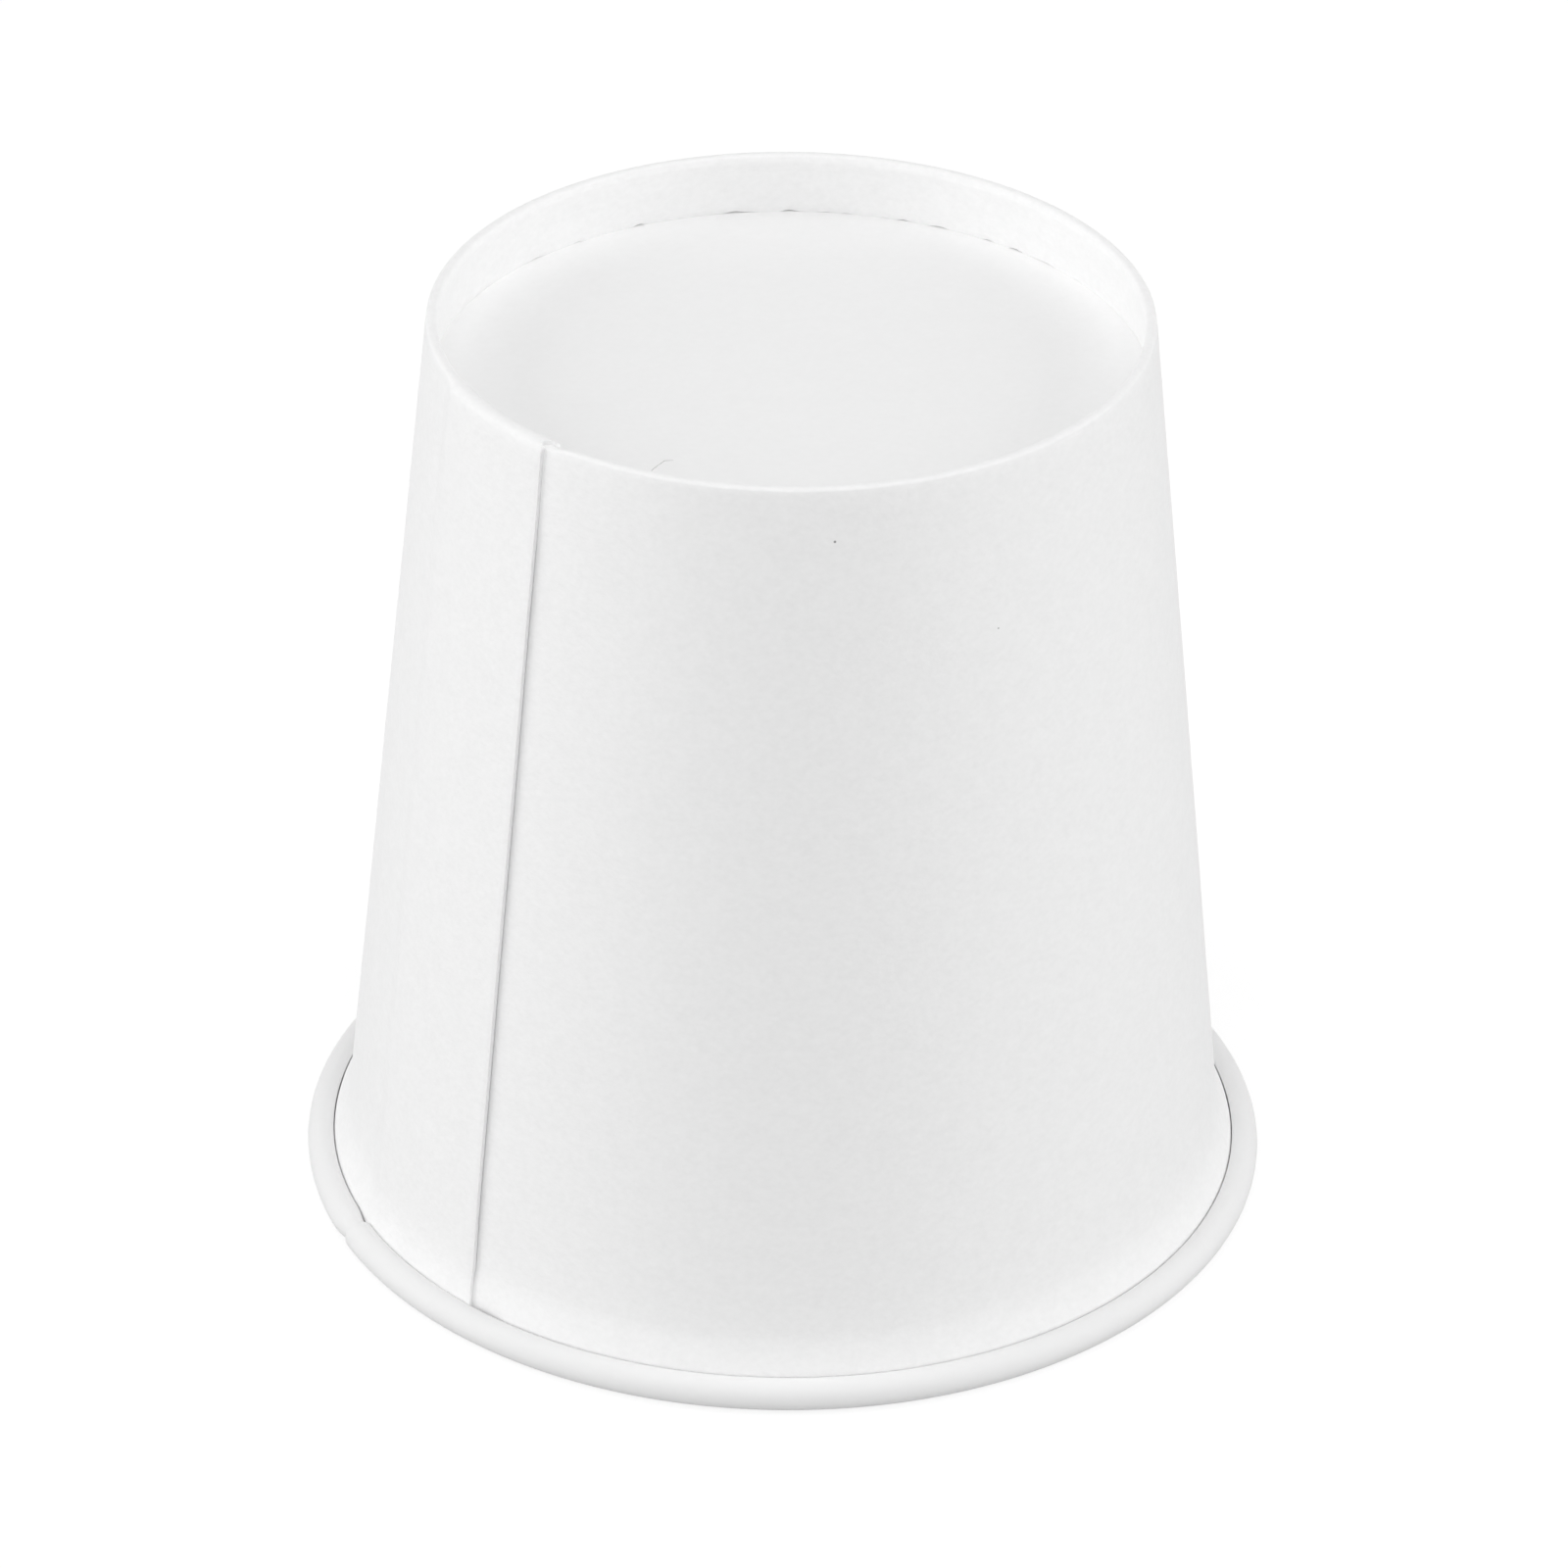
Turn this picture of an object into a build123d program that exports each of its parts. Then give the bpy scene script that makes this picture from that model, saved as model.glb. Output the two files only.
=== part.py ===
from build123d import *
import math
import os

# Paper cup for hot drinks, espresso size, standing upside down on its rolled rim.
# Two paperboard blanks: a fan-shaped sheet wrapped into the side wall, and a round
# blank pressed into the bottom pan. Origin under the middle of the rim, +Z towards
# the base. Millimetres.

# Driving dimensions
RIM_DIAMETER = 62.0
BASE_DIAMETER = 44.9
CUP_HEIGHT = 60.9

WALL_BOARD = 0.26
BOTTOM_BOARD = 0.22

ROLL_DIAMETER = 2.0
ROLL_START_LEAN = 28.0
ROLL_END_ANGLE = 141.0
FLARE_RADIUS = 10.0

RECESS_DEPTH = 4.2
HEM_CORNER_RADIUS = 0.2
HEM_END_CLEARANCE = 0.02
SKIRT_TOP_CLEARANCE = 0.05
BOTTOM_BEND_RADIUS = 0.12

SEAM_AZIMUTH = 228.6
LAP_WIDTH_AT_BASE = 8.9
JOG_WIDTH_AT_BASE = 1.6

# Taper: the cone runs from the base's outer corner and meets the flare above the
# rim as a tangent, so its lean follows from the two diameters and the height.
BASE_RADIUS = BASE_DIAMETER / 2
ROLL_RADIUS = ROLL_DIAMETER / 2
ROLL_CENTRE = Vector(RIM_DIAMETER / 2 - ROLL_RADIUS, ROLL_RADIUS)
ROLL_TO_FLARE = FLARE_RADIUS - (ROLL_RADIUS - WALL_BOARD)
FLARE_CENTRE = ROLL_CENTRE + ROLL_TO_FLARE * Vector(
    math.cos(math.radians(ROLL_START_LEAN)), math.sin(math.radians(ROLL_START_LEAN))
)
BASE_CORNER = Vector(BASE_RADIUS, CUP_HEIGHT)
CORNER_TO_FLARE = FLARE_CENTRE - BASE_CORNER
TAPER = math.degrees(
    math.atan2(CORNER_TO_FLARE.X, -CORNER_TO_FLARE.Y)
    - math.asin(FLARE_RADIUS / CORNER_TO_FLARE.length)
)

# The disc lies this far up, and its bend turns into the skirt over this length. The
# hem's raw edge ends just clear of that bend.
DISC_FACE_HEIGHT = CUP_HEIGHT - RECESS_DEPTH
BEND_TANGENT = BOTTOM_BEND_RADIUS / math.tan(math.radians((90 - TAPER) / 2))
HEM_END_HEIGHT = DISC_FACE_HEIGHT + BEND_TANGENT + HEM_END_CLEARANCE

# Widths round the base as angles, because both cut edges of the blank run along
# the cone.
LAP_ANGLE = math.degrees(LAP_WIDTH_AT_BASE / BASE_RADIUS)
JOG_ANGLE = math.degrees(JOG_WIDTH_AT_BASE / BASE_RADIUS)


def on_cone(height, depth):
    """Point of the section at a height, this deep inside the cone's outer face."""
    lean = math.radians(TAPER)
    spread = (CUP_HEIGHT - height) * math.tan(lean)
    return Vector(BASE_RADIUS + spread - depth / math.cos(lean), height)


def round_arc(centre, first_angle, first_radius, last_angle, last_radius):
    """Arc of the section about a centre, between two angles from outwards in degrees."""
    points = []
    for share in (0, 0.5, 1):
        way = math.radians(first_angle + share * (last_angle - first_angle))
        radius = first_radius + share * (last_radius - first_radius)
        points.append(centre + radius * Vector(math.cos(way), math.sin(way)))
    return ThreePointArc(*points)


def rim_line(cone_depth, roll_depth):
    """Flare and roll of a line this deep inside the sheet's normal outer face."""
    flare = round_arc(
        FLARE_CENTRE,
        180 + TAPER,
        FLARE_RADIUS + cone_depth,
        180 + ROLL_START_LEAN,
        FLARE_RADIUS + roll_depth,
    )
    roll_radius = ROLL_RADIUS - WALL_BOARD + roll_depth
    roll_start = ROLL_START_LEAN - 180
    return flare, round_arc(
        ROLL_CENTRE, roll_start, roll_radius, ROLL_END_ANGLE, roll_radius
    )


def sheet_section(cone_step, roll_step):
    """Section of the wrapped sheet: hem, cone, flare and rolled rim in one band.

    The steps are how far the sheet lies outside its normal place, in the hem and
    cone and in the roll. A step is one board thickness where the sheet laps over
    its own other end.
    """
    hem_face = 2 * WALL_BOARD + BOTTOM_BOARD + cone_step
    fold_inside = CUP_HEIGHT - WALL_BOARD
    with BuildSketch(Plane.XZ) as section:
        with BuildLine():
            flare, roll = rim_line(-cone_step, -roll_step)
            back_flare, back_roll = rim_line(
                WALL_BOARD - cone_step, WALL_BOARD - roll_step
            )
            Line(roll @ 1, back_roll @ 1)
            face = FilletPolyline(
                on_cone(HEM_END_HEIGHT, hem_face),
                on_cone(CUP_HEIGHT, hem_face),
                on_cone(CUP_HEIGHT, -cone_step),
                flare @ 0,
                radius=HEM_CORNER_RADIUS,
            )
            Polyline(
                back_flare @ 0,
                on_cone(fold_inside, WALL_BOARD - cone_step),
                on_cone(fold_inside, hem_face - WALL_BOARD),
                on_cone(HEM_END_HEIGHT, hem_face - WALL_BOARD),
                face @ 0,
            )
        make_face()
    return section.sketch


def side_wall():
    """The sheet: once round, a jog over its own inner end, then the sealed lap."""
    plain = sheet_section(0, 0)
    stepped = sheet_section(WALL_BOARD, 0)
    lapped = sheet_section(WALL_BOARD, WALL_BOARD)
    once_round = revolve(plain, Axis.Z, 360 - JOG_ANGLE)
    jog = loft([Rot(0, 0, -JOG_ANGLE) * plain, stepped], ruled=True)
    lap = revolve(lapped, Axis.Z, LAP_ANGLE)
    return Rot(0, 0, SEAM_AZIMUTH - LAP_ANGLE) * (once_round + jog + lap)


def bottom_disc():
    """The pressed bottom: a flat disc whose skirt turns up inside the folded hem."""
    under_height = DISC_FACE_HEIGHT - BOTTOM_BOARD
    skirt_top = CUP_HEIGHT - WALL_BOARD - SKIRT_TOP_CLEARANCE
    skirt_inner = WALL_BOARD + BOTTOM_BOARD
    with BuildSketch(Plane.XZ) as section:
        with BuildLine():
            upper = FilletPolyline(
                (0, DISC_FACE_HEIGHT),
                on_cone(DISC_FACE_HEIGHT, skirt_inner),
                on_cone(skirt_top, skirt_inner),
                radius=BOTTOM_BEND_RADIUS,
            )
            lower = FilletPolyline(
                (0, under_height),
                on_cone(under_height, WALL_BOARD),
                on_cone(skirt_top, WALL_BOARD),
                radius=BOTTOM_BEND_RADIUS + BOTTOM_BOARD,
            )
            Line(upper @ 0, lower @ 0)
            Line(upper @ 1, lower @ 1)
        make_face()
    return revolve(section.sketch, Axis.Z, 360)


os.makedirs("parts", exist_ok=True)
export_step(side_wall(), "parts/side_wall.step")
export_step(bottom_disc(), "parts/bottom_disc.step")
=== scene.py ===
import math

import bmesh
import bpy
from mathutils import Matrix, Vector, noise


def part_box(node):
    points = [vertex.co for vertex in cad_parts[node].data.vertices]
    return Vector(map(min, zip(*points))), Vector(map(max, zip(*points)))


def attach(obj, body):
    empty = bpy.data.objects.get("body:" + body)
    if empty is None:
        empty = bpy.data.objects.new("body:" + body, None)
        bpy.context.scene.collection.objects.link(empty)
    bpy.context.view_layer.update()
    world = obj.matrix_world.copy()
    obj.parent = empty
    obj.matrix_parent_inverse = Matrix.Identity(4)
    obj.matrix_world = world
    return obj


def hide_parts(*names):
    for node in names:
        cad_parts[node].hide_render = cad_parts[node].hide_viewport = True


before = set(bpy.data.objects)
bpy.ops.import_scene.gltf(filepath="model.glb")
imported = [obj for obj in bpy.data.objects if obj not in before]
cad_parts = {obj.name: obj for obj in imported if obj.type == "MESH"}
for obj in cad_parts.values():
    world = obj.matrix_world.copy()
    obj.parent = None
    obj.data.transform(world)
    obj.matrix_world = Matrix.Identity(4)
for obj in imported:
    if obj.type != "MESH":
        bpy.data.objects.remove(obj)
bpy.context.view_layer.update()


# Camera: half a metre away and 31 degrees above the table, with a long lens, so that
# the cup's sides stay nearly straight and the eye looks down into the base recess.
# The picture leans by half a degree, as a camera held by hand does.
CAMERA_ELEVATION = math.radians(31.05)
CAMERA_DISTANCE = 0.4939
CAMERA_ROLL = math.radians(0.61)
CAMERA_LENS_MM = 178.1
CAMERA_AIM = Vector((-0.00016, 0, 0.02715))
camera_way = Vector((0, -math.cos(CAMERA_ELEVATION), math.sin(CAMERA_ELEVATION)))
bpy.ops.object.camera_add(location=CAMERA_AIM + CAMERA_DISTANCE * camera_way)
camera = bpy.context.object
camera.data.lens = CAMERA_LENS_MM
turned_down = Matrix.Rotation(math.pi / 2 - CAMERA_ELEVATION, 4, "X")
camera.rotation_euler = (turned_down @ Matrix.Rotation(CAMERA_ROLL, 4, "Z")).to_euler()
bpy.context.scene.camera = camera


# Side wall: one fan-shaped sheet of white cup board, wrapped once round and lapped over
# its own other end, where heat seals it. Its wide edge is curled outwards into the rim,
# and its narrow edge is folded inwards over the bottom pan's skirt.
CUP_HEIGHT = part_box("side_wall")[1].z
RIM_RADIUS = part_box("side_wall")[1].x
BASE_RADIUS = 0.02245
WALL_BOARD = 0.00026
PAN_BOARD = 0.00022
ROLL_RADIUS = 0.001
ROLL_START_LEAN = math.radians(28)
ROLL_END_ANGLE = math.radians(134)
FLARE_RADIUS = 0.010
FOLD_RADIUS = 0.0003
PAN_FACE_DEPTH = 0.0042
HEM_END_DEPTH = 0.00421
SEAM_ANGLE = math.radians(228.6)
LAP_ANGLE = math.radians(22.71)
JOG_ANGLE = math.radians(4.08)
SEAL_FILM = 0.00001
SAME_PLACE = 0.00001
ROLL_STEPS = 26
FLARE_STEPS = 10
CONE_CUTS = 18
RECESS_CUTS = 6
HEM_CUTS = 7
OUTER_FOLD_STEPS = 5
INNER_FOLD_STEPS = 6

hem_face = 2 * WALL_BOARD + PAN_BOARD
roll_line_radius = ROLL_RADIUS - WALL_BOARD
roll_centre = Vector((RIM_RADIUS - ROLL_RADIUS, 0, ROLL_RADIUS))
lean_way = Vector((math.cos(ROLL_START_LEAN), 0, math.sin(ROLL_START_LEAN)))
flare_centre = roll_centre + (FLARE_RADIUS - roll_line_radius) * lean_way
corner_to_flare = flare_centre - Vector((BASE_RADIUS, 0, CUP_HEIGHT))
TAPER = math.atan2(corner_to_flare.x, -corner_to_flare.z) - math.asin(
    FLARE_RADIUS / corner_to_flare.length
)
up_cone = Vector((-math.sin(TAPER), 0, math.cos(TAPER)))
into_cone = Vector((-math.cos(TAPER), 0, -math.sin(TAPER)))


def on_cone(depth_below_base, depth_in_wall):
    """Point of the section this far below the base ring and inside the cone's face."""
    spread = depth_below_base * math.tan(TAPER) - depth_in_wall / math.cos(TAPER)
    return Vector((BASE_RADIUS + spread, 0, CUP_HEIGHT - depth_below_base))


def turn_round(centre, angle, steps, axis=(0, 1, 0)):
    """Spins what is selected, from outwards to upwards when the angle is positive."""
    bpy.ops.mesh.spin(steps=steps, angle=angle, center=centre, axis=axis)


def pull_to(end, cuts=0):
    """Extrudes the selected vertex in a straight run that ends at a point."""
    edit = bmesh.from_edit_mesh(bpy.context.object.data)
    start = next(v.co.copy() for v in edit.verts if v.select)
    for _ in range(cuts + 1):
        bpy.ops.mesh.extrude_vertices_move(
            TRANSFORM_OT_translate={"value": (end - start) / (cuts + 1)}
        )


def select_where(test):
    """In edit mode, selects just the vertices whose place passes the test."""
    bpy.ops.mesh.select_all(action="DESELECT")
    bpy.ops.mesh.select_mode(type="VERT")
    edit = bmesh.from_edit_mesh(bpy.context.object.data)
    for vertex in edit.verts:
        vertex.select = test(vertex.co)
    edit.select_flush(True)
    bmesh.update_edit_mesh(bpy.context.object.data)


bpy.ops.object.select_all(action="DESELECT")
free_edge = roll_centre + roll_line_radius * Vector(
    (math.cos(ROLL_END_ANGLE), 0, math.sin(ROLL_END_ANGLE))
)
bpy.ops.mesh.primitive_plane_add(size=ROLL_RADIUS, location=free_edge)
wall = bpy.context.object
wall.name = "wall_sheet"
bpy.ops.object.transform_apply(location=True, rotation=True, scale=True)
bpy.ops.object.mode_set(mode="EDIT")
bpy.ops.mesh.select_all(action="SELECT")
bpy.ops.mesh.merge(type="CENTER")
turn_round(roll_centre, ROLL_START_LEAN - math.pi - ROLL_END_ANGLE, ROLL_STEPS)
turn_round(flare_centre, TAPER - ROLL_START_LEAN, FLARE_STEPS)
corner_reach = FOLD_RADIUS * math.tan((math.pi / 2 - TAPER) / 2)
inner_reach = FOLD_RADIUS * math.tan((math.pi / 2 + TAPER) / 2)
outer_corner = on_cone(0, 0)
inner_corner = on_cone(0, hem_face)
outer_fold = outer_corner - corner_reach * up_cone
inner_fold = inner_corner + Vector((inner_reach, 0, 0))
pull_to(on_cone(PAN_FACE_DEPTH, 0), CONE_CUTS)
pull_to(outer_fold, RECESS_CUTS)
turn_round(
    outer_fold + FOLD_RADIUS * into_cone, math.pi / 2 - TAPER, OUTER_FOLD_STEPS
)
pull_to(inner_fold)
turn_round(
    inner_fold - Vector((0, 0, FOLD_RADIUS)), math.pi / 2 + TAPER, INNER_FOLD_STEPS
)
pull_to(on_cone(HEM_END_DEPTH, hem_face), HEM_CUTS)

# The wrap starts at the cut edge that shows, goes back over the lap one board thickness
# proud, steps down through the jog, and runs once round to end under the lap. The fold
# is pressed flat there, so the two layers share the base ring's height.
LAP_STEPS = 25
JOG_STEPS = 8
ROUND_STEPS = 396
DIP_STEPS = 6
COLUMN_ANGLE = math.radians(0.9)
FOLD_BAND = 0.0004
lap_stands = WALL_BOARD + SEAL_FILM


def wrap_back(angle, steps):
    """Spins the selected column of the sheet back round the cup's axis."""
    turn_round((0, 0, 0), angle, steps, (0, 0, 1))


def column_at(angle):
    """Test for the vertices of one column, this far round from the seam."""
    side = Vector((-math.sin(angle), math.cos(angle), 0))
    front = Vector((math.cos(angle), math.sin(angle), 0))
    return lambda place: abs(place.dot(side)) < SAME_PLACE and place.dot(front) > 0


def in_fold(place):
    """Whether a place is in the fold that the cup stands on the right way up."""
    return place.z > CUP_HEIGHT - FOLD_BAND


def rise(value, low, high):
    """Share from 0 to 1 that rises smoothly between two values."""
    share = min(max((value - low) / (high - low), 0), 1)
    return share * share * (3 - 2 * share)


bpy.ops.mesh.select_all(action="SELECT")
wrap_back(LAP_ANGLE, LAP_STEPS)
bpy.ops.mesh.select_all(action="SELECT")
bpy.ops.transform.shrink_fatten(value=lap_stands)
select_where(in_fold)
bpy.ops.transform.translate(value=(0, 0, -lap_stands))
angle = -LAP_ANGLE
select_where(column_at(angle))
stood = 1.0
for step in range(1, JOG_STEPS + 1):
    stands = 1 - rise(step, 0, JOG_STEPS)
    wrap_back(JOG_ANGLE / JOG_STEPS, 1)
    angle -= JOG_ANGLE / JOG_STEPS
    column = column_at(angle)
    bpy.ops.transform.shrink_fatten(value=(stands - stood) * lap_stands)
    select_where(lambda place: column(place) and in_fold(place))
    bpy.ops.transform.translate(value=(0, 0, (stood - stands) * lap_stands))
    select_where(column)
    stood = stands
plain_angle = 2 * math.pi - JOG_ANGLE - LAP_ANGLE - (DIP_STEPS + 1) * COLUMN_ANGLE
wrap_back(plain_angle, ROUND_STEPS)
angle -= plain_angle
dipped = 0.0
for step in range(1, DIP_STEPS + 1):
    dips = rise(step, 0, DIP_STEPS)
    wrap_back(COLUMN_ANGLE, 1)
    angle -= COLUMN_ANGLE
    column = column_at(angle)
    select_where(lambda place: column(place) and in_fold(place))
    bpy.ops.transform.translate(value=(0, 0, (dipped - dips) * lap_stands))
    select_where(column)
    dipped = dips
wrap_back(LAP_ANGLE + COLUMN_ANGLE, LAP_STEPS + 1)
bpy.ops.object.mode_set(mode="OBJECT")
bpy.ops.object.shade_smooth()

# Small unevenness of the real sheet, pushed into the mesh before it gets its thickness.
# A span is the heights where a push starts, is full, starts to fade and ends. Where a
# value has two numbers, its push changes between them.
SEAM_LIFT = 0.00009
SEAM_LIFT_WIDTH = 0.0016
SEAM_LIFT_SPAN = (0.0025, 0.006, 0.053, 0.057)
SEAM_SET_BACK = 0.00066
SEAM_SET_BACK_WIDTH = 0.004
SEAM_SET_BACK_FULL = 0.0035
SEAM_SKEW = 0.00099
SEAM_SKEW_START = 0.0084
SEAM_SKEW_RUN = 0.0462
FACE_MARGIN = 0.0001
HEM_REACH = 0.005
HEM_FOLD_MARGIN = 0.0005
HEM_LEAST_DEPTH = 0.0004
HEM_CUT_SKEW = 0.0007
HEM_CUT_SKEW_WIDTH = 0.006
HEM_CUT_SKEW_FULL_DEPTH = 0.0009
FLARE_PUSH = 0.00038
FLARE_PUSH_SPAN = (0.0005, 0.0016, 0.0017, 0.0045)
FLARE_PUSH_IN_LAP = 0.35
FLARE_PUSH_AFTER_SEAM = (1, 6)
FLARE_PUSH_BEFORE_JOG = 4
ROLL_MARGIN = 0.00002
RAW_EDGE_RAG = 0.00022
RAW_EDGE_GRAIN = 0.0009
RAW_EDGE_REACH = 0.0009
RAW_EDGE_AT_BACK = (0.5, 0.8)
HEM_PRESS = 0.00005
HEM_PRESS_GRAIN = 0.0022
ROLL_EDGE_WAVE = 0.00003
ROLL_EDGE_GRAIN = 0.006
ROLL_EDGE_REACH = (0.0001, 0.0008)
CONE_WAVE = 0.00008
CONE_WAVE_GRAIN = 0.016
CONE_WAVE_SPAN = (0.008, 0.018, 0.045, 0.056)
CONE_WAVE_DEPTH = 0.0005


def from_axis(place):
    """How far a place is from the cup's axis."""
    return math.hypot(place.x, place.y)


def depth_inside(place):
    """How deep a place lies inside the cone's outer face, less than 0 if outside."""
    cone_radius = BASE_RADIUS + (CUP_HEIGHT - place.z) * math.tan(TAPER)
    return (cone_radius - from_axis(place)) * math.cos(TAPER)


def across_from(place, centre):
    """Distance in the section from a place to the middle of one of its arcs."""
    return math.hypot(from_axis(place) - centre.x, place.z - centre.z)


def within_span(height, span):
    """Share that rises from 0 to 1 at the start of a span and falls again at its end."""
    start, full, fade, end = span
    return rise(height, start, full) * (1 - rise(height, fade, end))


def push(piece, name, share_at, direction, amount, grain=None):
    """Moves a piece's vertices by their share of an amount, or in and out in a pattern."""
    group = piece.vertex_groups.new(name=name)
    for vertex in piece.data.vertices:
        share = share_at(vertex.co)
        if share > 0:
            group.add([vertex.index], share, "REPLACE")
    shift = piece.modifiers.new(name, "DISPLACE")
    shift.direction = direction
    shift.strength = amount
    shift.mid_level = 0.5 if grain else 0.0
    shift.vertex_group = name
    if grain:
        shift.texture = bpy.data.textures.new(name, "CLOUDS")
        shift.texture.noise_scale = grain
        shift.texture.noise_depth = 2
    bpy.ops.object.modifier_apply(modifier=name)


def near_cut_edge(place, width):
    """Share that is 1 at the lap's cut edge and falls to 0 this far round from it."""
    return 1 - rise(abs(place.y), 0, width) if place.x > 0 else 0


def in_hem(place):
    """Whether a place is in the folded hem, clear of the fold's pressed flat."""
    below_fold = CUP_HEIGHT - HEM_REACH < place.z < CUP_HEIGHT - HEM_FOLD_MARGIN
    return below_fold and depth_inside(place) > HEM_LEAST_DEPTH


def stands_proud(place):
    """Whether a place above the roll is on the outer layer of the lap."""
    if place.z > flare_centre.z - FLARE_RADIUS * math.sin(TAPER):
        return depth_inside(place) < -FACE_MARGIN
    beside_roll = from_axis(place) < roll_centre.x - roll_line_radius
    return beside_roll and across_from(place, flare_centre) < FLARE_RADIUS - FACE_MARGIN


def seam_lift_share(place):
    """The open stretch of the lap's edge, between the flare and the pressed base."""
    if not stands_proud(place):
        return 0
    return near_cut_edge(place, SEAM_LIFT_WIDTH) * within_span(place.z, SEAM_LIFT_SPAN)


def seam_back_share(place):
    """The lap's outer layer near its cut edge, below the base hem."""
    if not stands_proud(place):
        return 0
    near_edge = near_cut_edge(place, SEAM_SET_BACK_WIDTH)
    return near_edge * rise(place.z, 0, SEAM_SET_BACK_FULL)


def seam_skew_share(place):
    """The same places, more towards the base, because the edge is cut askew."""
    share = min(max((place.z - SEAM_SKEW_START) / SEAM_SKEW_RUN, 0), 1)
    return share * seam_back_share(place)


def hem_skew_share(place):
    """The hem near the cut edge, more the deeper it is folded in."""
    depth = depth_inside(place)
    if place.z < CUP_HEIGHT - HEM_REACH or depth < FACE_MARGIN:
        return 0
    deep_share = rise(depth, FACE_MARGIN, HEM_CUT_SKEW_FULL_DEPTH)
    return near_cut_edge(place, HEM_CUT_SKEW_WIDTH) * deep_share


def raw_edge_share(place):
    """The hem's raw edge, which is ragged in places at the back of the recess."""
    if not in_hem(place):
        return 0
    torn = max(noise.noise(place / RAW_EDGE_GRAIN), 0)
    back = math.cos(math.atan2(place.y, place.x) + SEAM_ANGLE - math.pi / 2)
    end_height = CUP_HEIGHT - HEM_END_DEPTH
    near_end = 1 - rise(place.z, end_height, end_height + RAW_EDGE_REACH)
    return torn * near_end * rise(back, *RAW_EDGE_AT_BACK)


def flare_share(place):
    """The flare beside the roll's free edge: all of it once round, less in the lap."""
    in_roll = across_from(place, roll_centre) < roll_line_radius + ROLL_MARGIN
    if in_roll or place.z > FLARE_PUSH_SPAN[-1]:
        return 0
    past_seam = math.degrees(math.atan2(place.y, place.x))
    jog_end = -math.degrees(LAP_ANGLE + JOG_ANGLE)
    after_seam = rise(past_seam, *FLARE_PUSH_AFTER_SEAM)
    before_jog = 1 - rise(past_seam, jog_end, jog_end + FLARE_PUSH_BEFORE_JOG)
    once_round = max(after_seam, before_jog)
    round_share = FLARE_PUSH_IN_LAP + (1 - FLARE_PUSH_IN_LAP) * once_round
    return within_span(place.z, FLARE_PUSH_SPAN) * round_share


def roll_edge_share(place):
    """The roll's free edge and a little of the roll before it."""
    return 1 - rise(across_from(place, free_edge), *ROLL_EDGE_REACH)


def cone_share(place):
    """The cone's open stretch, between the flare and the bottom pan."""
    if abs(depth_inside(place)) > CONE_WAVE_DEPTH:
        return 0
    return within_span(place.z, CONE_WAVE_SPAN)


push(wall, "seam_lift", seam_lift_share, "NORMAL", SEAM_LIFT)
push(wall, "seam_back", seam_back_share, "Y", -SEAM_SET_BACK)
push(wall, "seam_skew", seam_skew_share, "Y", SEAM_SKEW)
push(wall, "hem_skew", hem_skew_share, "Y", HEM_CUT_SKEW)
push(wall, "flare", flare_share, "NORMAL", FLARE_PUSH)
push(wall, "raw_edge", raw_edge_share, "Z", RAW_EDGE_RAG)
push(wall, "hem_press", in_hem, "NORMAL", HEM_PRESS, HEM_PRESS_GRAIN)
push(wall, "roll_edge", roll_edge_share, "NORMAL", ROLL_EDGE_WAVE, ROLL_EDGE_GRAIN)
push(wall, "cone_wave", cone_share, "NORMAL", CONE_WAVE, CONE_WAVE_GRAIN)
wall.rotation_euler.z = SEAM_ANGLE
bpy.ops.object.transform_apply(location=True, rotation=True, scale=True)

# The board's finishes. Outside it is bare and matt, with the mottling and relief of its
# fibres. Inside it has a thin clear film, which shows on the roll; its colour is set
# darker than the bare board as painted shade on the roll. Cut edges show fibre.
WALL_COLOUR = 0.925
# The film side's colour is darker than the bare board: painted shade that dims the roll.
FILM_PAINTED_SHADE_COLOUR = 0.87
FILM_SHINE = 0.2
CUT_COLOUR = 0.91
PER_MILLIMETRE = 1000
BOARD_FLECKS = (2.2, 2.2, 2.9)
CUT_FLECKS = (6, 6, 2)
BOARD_SHINE = 0.35
GLOSS_SPREAD = 0.06
TINT_RANGE = (0.3, 0.7)
CLOUD_SCALE = 0.3
CLOUD_SHARE = 0.3
SPECK_COLOUR = 0.30
SPECK_CORE = 0.5
SPECKS = (
    (Vector((0.0027, -0.02263, 0.05753)), 0.0001),
    (Vector((0.0126, -0.01989, 0.05018)), 0.00006),
)


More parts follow.
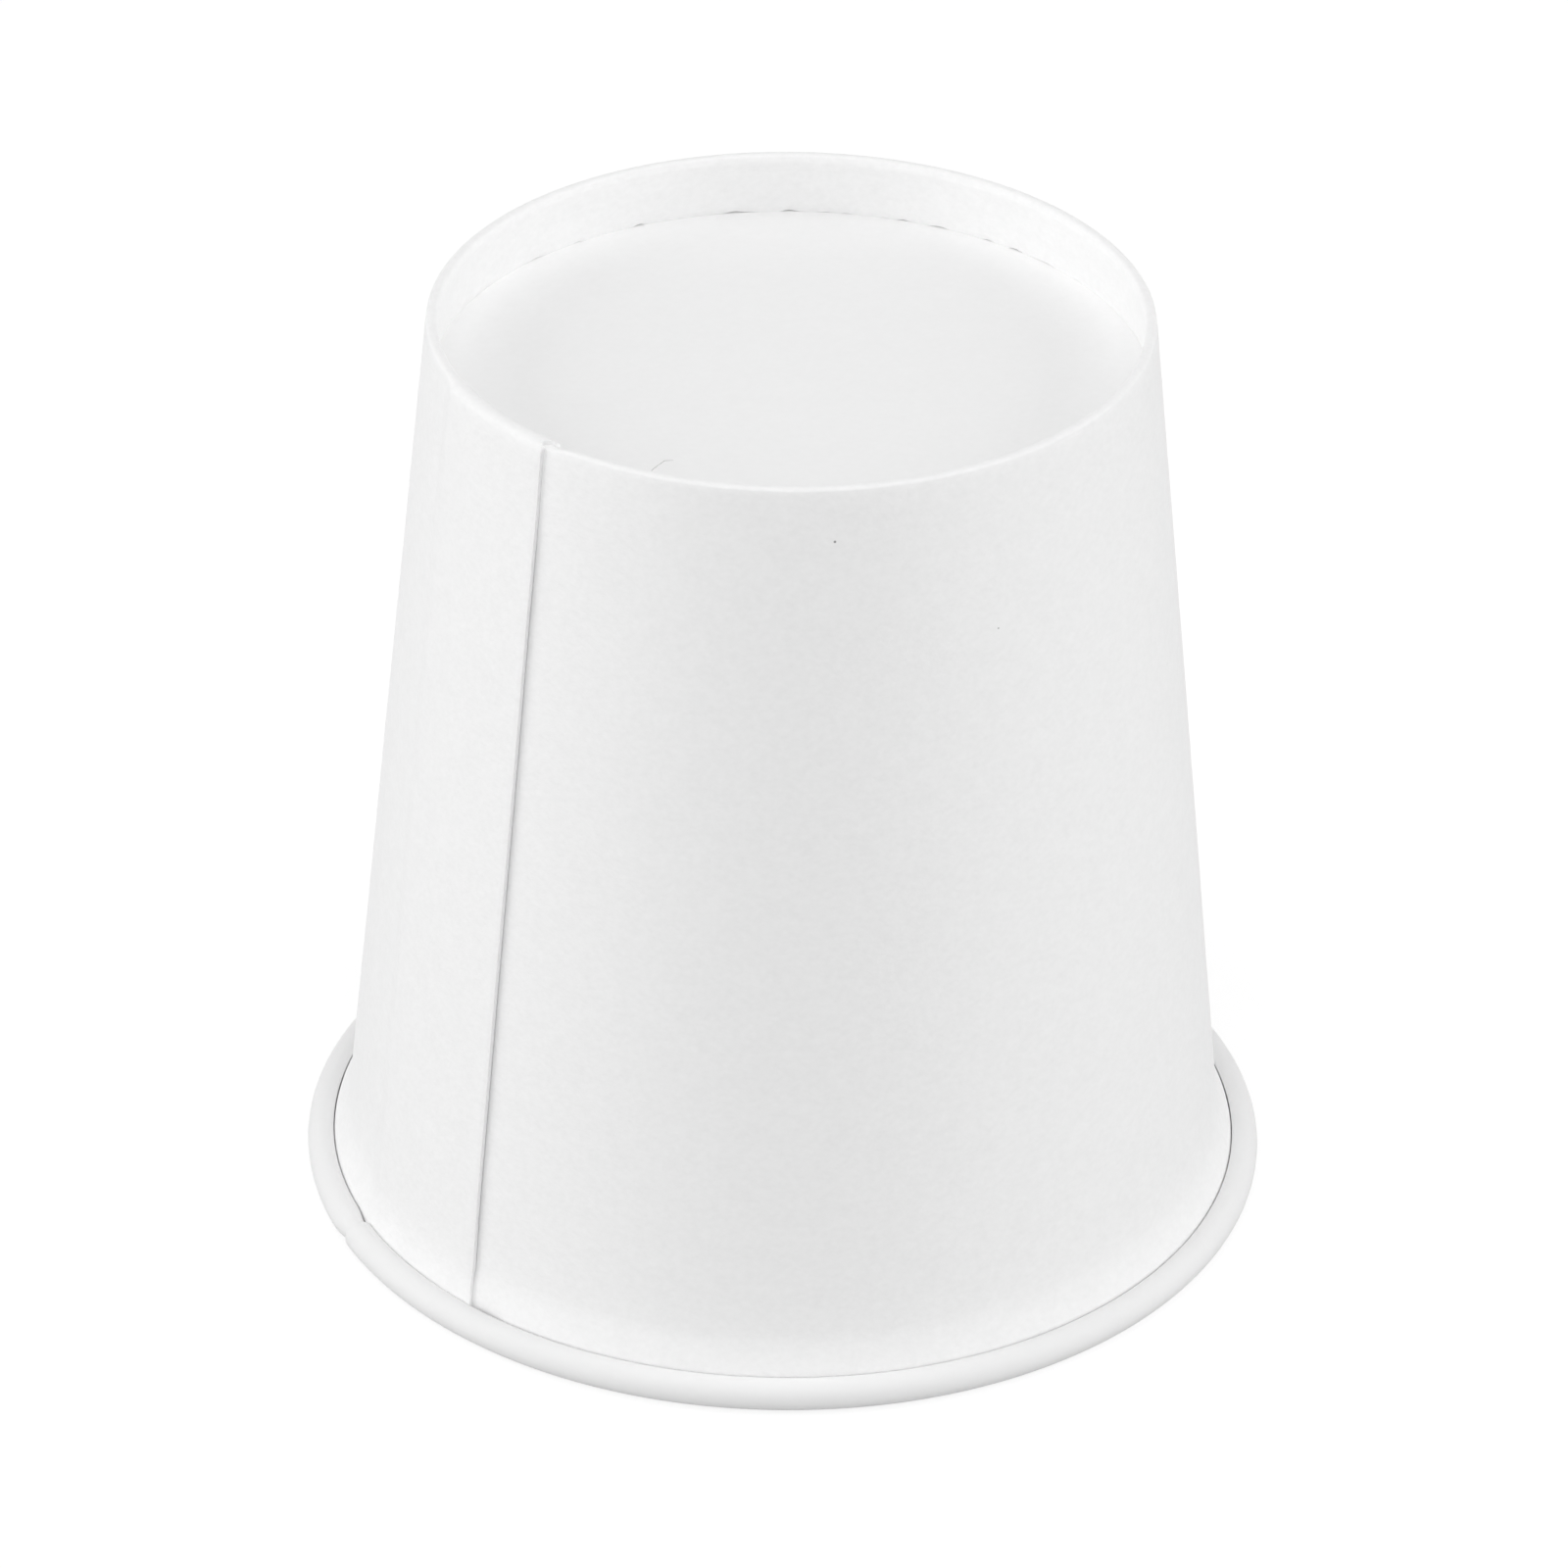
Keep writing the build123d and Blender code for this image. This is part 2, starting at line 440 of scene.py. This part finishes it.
def board_material(
    name, colour, mottle, relief, roughness, flecks=BOARD_FLECKS, shine=BOARD_SHINE
):
    """Paperboard: fibre flecks per millimetre tint it, raise it and roughen it."""
    material = bpy.data.materials.new(name)
    material.use_nodes = True
    nodes = material.node_tree.nodes
    link = material.node_tree.links.new
    surface = nodes["Principled BSDF"]
    surface.inputs["Specular IOR Level"].default_value = shine
    place = nodes.new("ShaderNodeTexCoord")
    in_flecks = nodes.new("ShaderNodeMapping")
    in_flecks.inputs["Scale"].default_value = [PER_MILLIMETRE * count for count in flecks]
    link(place.outputs["Object"], in_flecks.inputs["Vector"])
    fibres = nodes.new("ShaderNodeTexNoise")
    fibres.inputs["Scale"].default_value = 1.0
    fibres.inputs["Detail"].default_value = 3.0
    fibres.inputs["Roughness"].default_value = 0.6
    link(in_flecks.outputs["Vector"], fibres.inputs["Vector"])
    clouds = nodes.new("ShaderNodeTexNoise")
    clouds.inputs["Scale"].default_value = CLOUD_SCALE
    clouds.inputs["Detail"].default_value = 2.0
    link(in_flecks.outputs["Vector"], clouds.inputs["Vector"])
    both = nodes.new("ShaderNodeMix")
    both.inputs["Factor"].default_value = CLOUD_SHARE
    link(fibres.outputs["Fac"], both.inputs["A"])
    link(clouds.outputs["Fac"], both.inputs["B"])
    tint = nodes.new("ShaderNodeValToRGB")
    low, high = tint.color_ramp.elements
    low.position, high.position = TINT_RANGE
    low.color = [colour * (1 - mottle)] * 3 + [1]
    high.color = [colour * (1 + mottle)] * 3 + [1]
    link(both.outputs["Result"], tint.inputs["Fac"])
    link(tint.outputs["Color"], surface.inputs["Base Color"])
    gloss = nodes.new("ShaderNodeMapRange")
    gloss.inputs["To Min"].default_value = roughness - GLOSS_SPREAD
    gloss.inputs["To Max"].default_value = roughness + GLOSS_SPREAD
    link(fibres.outputs["Fac"], gloss.inputs["Value"])
    link(gloss.outputs["Result"], surface.inputs["Roughness"])
    raised = nodes.new("ShaderNodeBump")
    raised.inputs["Strength"].default_value = 1.0
    raised.inputs["Distance"].default_value = relief
    link(fibres.outputs["Fac"], raised.inputs["Height"])
    link(raised.outputs["Normal"], surface.inputs["Normal"])
    return material


def add_speck(material, centre, radius):
    """Darkens one small round place of a material: a speck in the pulp."""
    nodes = material.node_tree.nodes
    link = material.node_tree.links.new
    colour_in = nodes["Principled BSDF"].inputs["Base Color"]
    place = nodes.new("ShaderNodeTexCoord")
    away = nodes.new("ShaderNodeVectorMath")
    away.operation = "DISTANCE"
    away.inputs[1].default_value = centre
    link(place.outputs["Object"], away.inputs[0])
    inside = nodes.new("ShaderNodeMapRange")
    inside.inputs["From Min"].default_value = radius
    inside.inputs["From Max"].default_value = radius * SPECK_CORE
    link(away.outputs["Value"], inside.inputs["Value"])
    tint = nodes.new("ShaderNodeMix")
    tint.data_type = "RGBA"
    tint.inputs["B"].default_value = [SPECK_COLOUR] * 3 + [1]
    link(inside.outputs["Result"], tint.inputs["Factor"])
    link(colour_in.links[0].from_socket, tint.inputs["A"])
    link(tint.outputs["Result"], colour_in)


matt_board = board_material(
    "matt_board", WALL_COLOUR, mottle=0.025, relief=0.000024, roughness=0.75
)
for speck_centre, speck_radius in SPECKS:
    add_speck(matt_board, speck_centre, speck_radius)
# Film side: real film gloss, with a darker colour that is painted shade on the roll.
film_with_painted_shade = board_material(
    "film_with_painted_shade",
    FILM_PAINTED_SHADE_COLOUR,
    mottle=0.006,
    relief=0.000006,
    roughness=0.6,
    shine=FILM_SHINE,
)
cut_board = board_material(
    "cut_board",
    CUT_COLOUR,
    mottle=0.05,
    relief=0.00002,
    roughness=0.85,
    flecks=CUT_FLECKS,
)
for finish in (matt_board, film_with_painted_shade, cut_board):
    wall.data.materials.append(finish)

# The sheet gets its thickness, and its cut edges are slightly rounded.
CUT_ROUNDING = 0.00003
CUT_ANGLE = math.radians(50)
SMOOTH_ANGLE = math.radians(40)


def thicken(piece, thickness):
    """Makes a sheet solid inwards: film on the new face, fibre on the cut edges."""
    board = piece.modifiers.new("board", "SOLIDIFY")
    board.thickness = thickness
    board.offset = -1
    board.use_even_offset = True
    board.material_offset = 1
    board.material_offset_rim = 2
    bpy.ops.object.modifier_apply(modifier="board")


thicken(wall, WALL_BOARD)
cut = wall.modifiers.new("cut", "BEVEL")
cut.width = CUT_ROUNDING
cut.segments = 2
cut.limit_method = "ANGLE"
cut.angle_limit = CUT_ANGLE
bpy.ops.object.modifier_apply(modifier="cut")
bpy.ops.object.shade_smooth_by_angle(angle=SMOOTH_ANGLE)
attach(wall, "root")
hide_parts("side_wall")


# Bottom pan: a round blank of slightly thinner board, pressed into a shallow dish. Its
# skirt stands up between the wall and the folded hem, and heat seals it to both.
PAN_COLOUR = 0.915
PAN_STEPS = 240
PAN_RINGS = 16
PAN_BEND_RADIUS = 0.00002
PAN_BEND_STEPS = 3
PAN_BEND_TANGENT = PAN_BEND_RADIUS / math.tan((math.pi / 2 - TAPER) / 2)
SKIRT_TOP_DEPTH = 0.00031
PAN_FLECKS = (2.2, 2.2, 2.2)
PAN_WAVE = 0.0001
PAN_WAVE_GRAIN = 0.014
PAN_WAVE_FADE = 0.016
PAN_WAVE_END = 0.0008

pan_corner = on_cone(PAN_FACE_DEPTH, WALL_BOARD + PAN_BOARD)
skirt_top = on_cone(SKIRT_TOP_DEPTH, WALL_BOARD + PAN_BOARD)
bpy.ops.object.select_all(action="DESELECT")
bpy.ops.mesh.primitive_circle_add(
    vertices=PAN_STEPS,
    radius=pan_corner.x,
    fill_type="NGON",
    location=(0, 0, pan_corner.z),
)
pan = bpy.context.object
pan.name = "bottom_pan"
bpy.ops.object.transform_apply(location=True, rotation=True, scale=True)
bpy.ops.object.mode_set(mode="EDIT")
bpy.ops.mesh.select_mode(type="FACE")
bpy.ops.mesh.select_all(action="SELECT")
for ring in range(PAN_RINGS):
    bpy.ops.mesh.inset(thickness=pan_corner.x / (PAN_RINGS + 1))
bpy.ops.mesh.poke()
select_where(lambda place: from_axis(place) > pan_corner.x - SAME_PLACE)
bpy.ops.mesh.extrude_edges_move(
    TRANSFORM_OT_translate={"value": (0, 0, skirt_top.z - pan_corner.z)}
)
skirt_draw = skirt_top.x / pan_corner.x
bpy.ops.transform.resize(
    value=(skirt_draw, skirt_draw, 1), center_override=(0, 0, skirt_top.z)
)
select_where(
    lambda place: from_axis(place) > pan_corner.x - SAME_PLACE
    and place.z < pan_corner.z + SAME_PLACE
)
bpy.ops.mesh.bevel(
    offset=PAN_BEND_TANGENT,
    offset_type="OFFSET",
    segments=PAN_BEND_STEPS,
    affect="EDGES",
)
bpy.ops.object.mode_set(mode="OBJECT")
bpy.ops.object.shade_smooth()


def disc_share(place):
    """The flat disc, which lies still where it meets the hem."""
    return 1 - rise(from_axis(place), PAN_WAVE_FADE, pan_corner.x - PAN_WAVE_END)


push(pan, "pan_wave", disc_share, "Z", PAN_WAVE, PAN_WAVE_GRAIN)
pan_board = board_material(
    "pan_board",
    PAN_COLOUR,
    mottle=0.012,
    relief=0.000014,
    roughness=0.7,
    flecks=PAN_FLECKS,
)
for finish in (pan_board, film_with_painted_shade, cut_board):
    pan.data.materials.append(finish)
thicken(pan, PAN_BOARD)
bpy.ops.object.shade_smooth_by_angle(angle=SMOOTH_ANGLE)
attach(pan, "root")
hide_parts("bottom_disc")


# Loose fibre: one hair of pulp that stands out of the base ring's inner edge. It is a
# thin six-sided rod, drawn out leg by leg and narrowed at its free end.
FIBRE_RADIUS = 0.00002
FIBRE_COLOUR = 0.5
FIBRE_SIDES = 6
FIBRE_TIP = 0.5
FIBRE_SMOOTH_ANGLE = math.radians(60)
FIBRE_PATH = (
    Vector((-0.0082, -0.0201, 0.0608)),
    Vector((-0.00808, -0.01983, 0.0608)),
    Vector((-0.00746, -0.01885, 0.0608)),
    Vector((-0.00693, -0.01878, 0.0608)),
)

bpy.ops.object.select_all(action="DESELECT")
bpy.ops.mesh.primitive_circle_add(
    vertices=FIBRE_SIDES,
    radius=FIBRE_RADIUS,
    fill_type="NGON",
    location=FIBRE_PATH[0],
    rotation=(FIBRE_PATH[2] - FIBRE_PATH[0]).to_track_quat("Z", "Y").to_euler(),
)
fibre = bpy.context.object
fibre.name = "loose_fibre"
bpy.ops.object.transform_apply(location=True, rotation=True, scale=True)
bpy.ops.object.mode_set(mode="EDIT")
bpy.ops.mesh.select_all(action="SELECT")
for leg_start, leg_end in zip(FIBRE_PATH, FIBRE_PATH[1:]):
    bpy.ops.mesh.extrude_region_move(
        TRANSFORM_OT_translate={"value": leg_end - leg_start}
    )
bpy.ops.transform.resize(value=(FIBRE_TIP, FIBRE_TIP, FIBRE_TIP))
bpy.ops.mesh.select_all(action="SELECT")
bpy.ops.mesh.normals_make_consistent(inside=False)
bpy.ops.object.mode_set(mode="OBJECT")
bpy.ops.object.shade_smooth_by_angle(angle=FIBRE_SMOOTH_ANGLE)
pulp_fibre = board_material(
    "pulp_fibre", FIBRE_COLOUR, mottle=0.05, relief=0.000002, roughness=0.8
)
fibre.data.materials.append(pulp_fibre)
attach(fibre, "root")


# Floor: a plain white table. What the camera sees of it is lifted to white, and it keeps
# the cup's soft shadow. The light it throws back comes from its plain pale colour.
FLOOR_COLOUR = 0.65
FLOOR_GLOW = 0.8
FLOOR_SHADE = 0.25
FLOOR_SIZE = 6

bpy.ops.mesh.primitive_plane_add(size=FLOOR_SIZE, location=(0, 0, 0))
floor = bpy.context.object
floor.name = "floor"
floor_white = bpy.data.materials.new("floor_white")
floor_white.use_nodes = True
nodes = floor_white.node_tree.nodes
link = floor_white.node_tree.links.new
nodes.remove(nodes["Principled BSDF"])
plain = nodes.new("ShaderNodeBsdfDiffuse")
plain.inputs["Color"].default_value = [FLOOR_COLOUR] * 3 + [1]
shade = nodes.new("ShaderNodeBsdfDiffuse")
shade.inputs["Color"].default_value = [FLOOR_SHADE] * 3 + [1]
glow = nodes.new("ShaderNodeEmission")
glow.inputs["Strength"].default_value = FLOOR_GLOW
seen = nodes.new("ShaderNodeAddShader")
link(shade.outputs["BSDF"], seen.inputs[0])
link(glow.outputs["Emission"], seen.inputs[1])


def seen_ray(nodes, link):
    """Output that is 1 for rays that end in what the camera, gloss or glass shows."""
    path = nodes.new("ShaderNodeLightPath")
    total = path.outputs["Is Camera Ray"]
    for name in ("Is Glossy Ray", "Is Transmission Ray"):
        either = nodes.new("ShaderNodeMath")
        either.operation = "MAXIMUM"
        link(total, either.inputs[0])
        link(path.outputs[name], either.inputs[1])
        total = either.outputs["Value"]
    return total


which = nodes.new("ShaderNodeMixShader")
link(seen_ray(nodes, link), which.inputs["Fac"])
link(plain.outputs["BSDF"], which.inputs[1])
link(seen.outputs["Shader"], which.inputs[2])
link(which.outputs["Shader"], nodes["Material Output"].inputs["Surface"])
floor.data.materials.append(floor_white)


# Studio light: a pale room that shows as white behind the cup, and large soft lamps.
# Each lamp has its name, its azimuth and elevation in degrees, and its watts.
ROOM_LIGHT = 0.38
LAMP_DISTANCE = 0.8
LAMP_SIZE = 0.5
LAMPS = (
    ("left", 180, 20, 2.13),
    ("right", 0, 20, 2.10),
    ("front_left", 225, 20, 0.32),
    ("front", 270, 20, 0.45),
    ("left_high", 180, 50, 0.43),
    ("right_high", 0, 50, 0.41),
    ("front_high", 270, 50, 1.50),
    ("top", 90, 88, 0.42),
)

world = bpy.data.worlds.new("studio")
bpy.context.scene.world = world
world.use_nodes = True
nodes = world.node_tree.nodes
link = world.node_tree.links.new
room = nodes["Background"]
room.inputs["Strength"].default_value = ROOM_LIGHT
room.inputs["Color"].default_value = (1, 1, 1, 1)
backdrop = nodes.new("ShaderNodeBackground")
backdrop.inputs["Color"].default_value = (1, 1, 1, 1)
which = nodes.new("ShaderNodeMixShader")
link(seen_ray(nodes, link), which.inputs["Fac"])
link(room.outputs["Background"], which.inputs[1])
link(backdrop.outputs["Background"], which.inputs[2])
link(which.outputs["Shader"], nodes["World Output"].inputs["Surface"])

for lamp_name, azimuth, elevation, watts in LAMPS:
    turned = math.radians(azimuth)
    raised = math.radians(elevation)
    way = Vector(
        (
            math.cos(raised) * math.cos(turned),
            math.cos(raised) * math.sin(turned),
            math.sin(raised),
        )
    )
    bpy.ops.object.light_add(type="AREA", location=CAMERA_AIM + LAMP_DISTANCE * way)
    lamp = bpy.context.object
    lamp.name = "lamp_" + lamp_name
    lamp.data.energy = watts
    lamp.data.size = LAMP_SIZE
    lamp.rotation_euler = way.to_track_quat("Z", "Y").to_euler()
    lamp.visible_camera = False

bpy.context.scene.view_settings.view_transform = "Standard"
